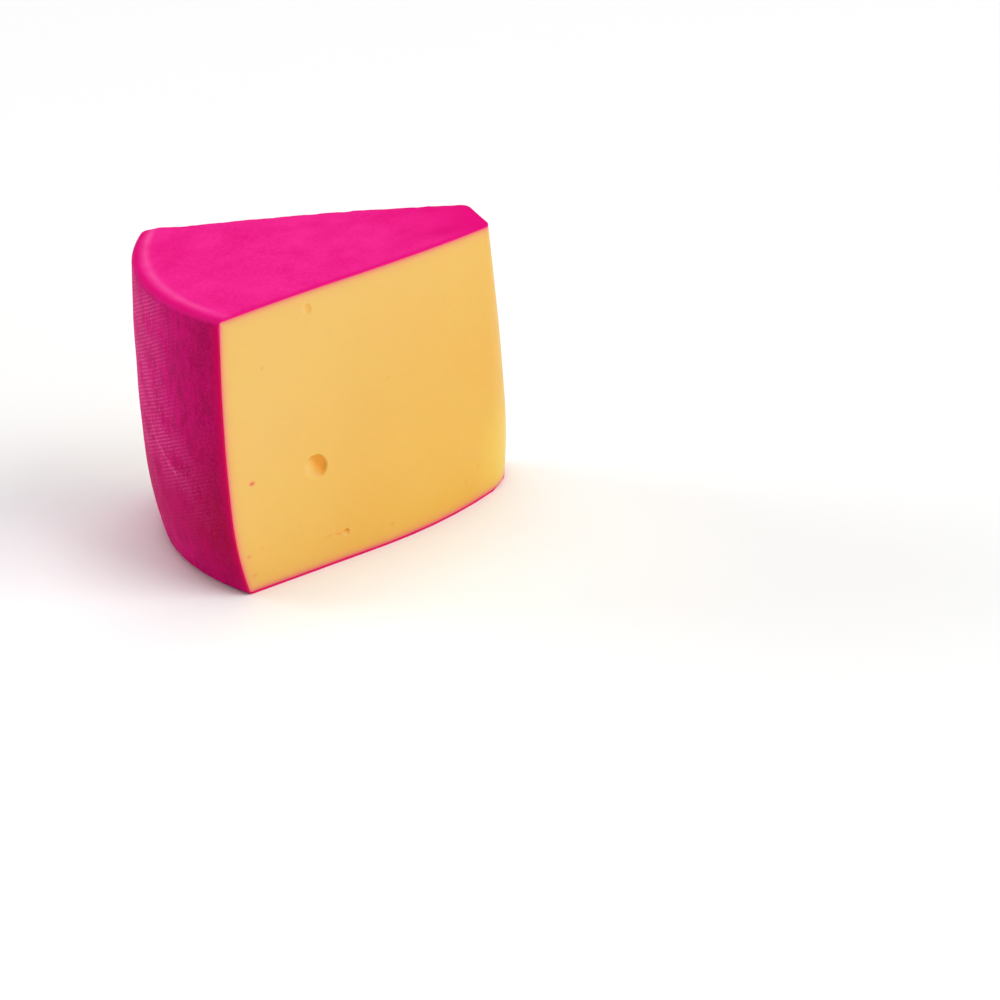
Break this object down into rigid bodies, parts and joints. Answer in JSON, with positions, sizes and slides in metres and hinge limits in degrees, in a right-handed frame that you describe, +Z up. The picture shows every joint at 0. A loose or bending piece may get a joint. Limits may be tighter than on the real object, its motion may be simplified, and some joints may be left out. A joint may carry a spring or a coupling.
{
  "type": "cheese wedge",
  "caption": "Thick upright slice of a small semi-hard cheese wheel, with a blunt thin end, bare cut faces with a few eyes, and a bright pink coating on its top, round side and foot.",
  "frame": {"origin": "on the flat foot, at the bottom centre of the slice's box", "axes": "+X along the front cut face from the coated round side to the blunt thin end, +Y from the front cut face to the rear one, +Z up"},
  "size_m": [0.1504, 0.087, 0.1113],
  "materials": {
    "paste": "warm yellow cheese paste, smooth, slightly waxy and translucent where it is cut",
    "coating": "thin magenta cheese coating, satin, with the imprint of cheesecloth on the round side"
  },
  "bodies": {
    "root": {"cheese_paste": "paste", "rind_coating": "coating"}
  },
  "joints": []
}
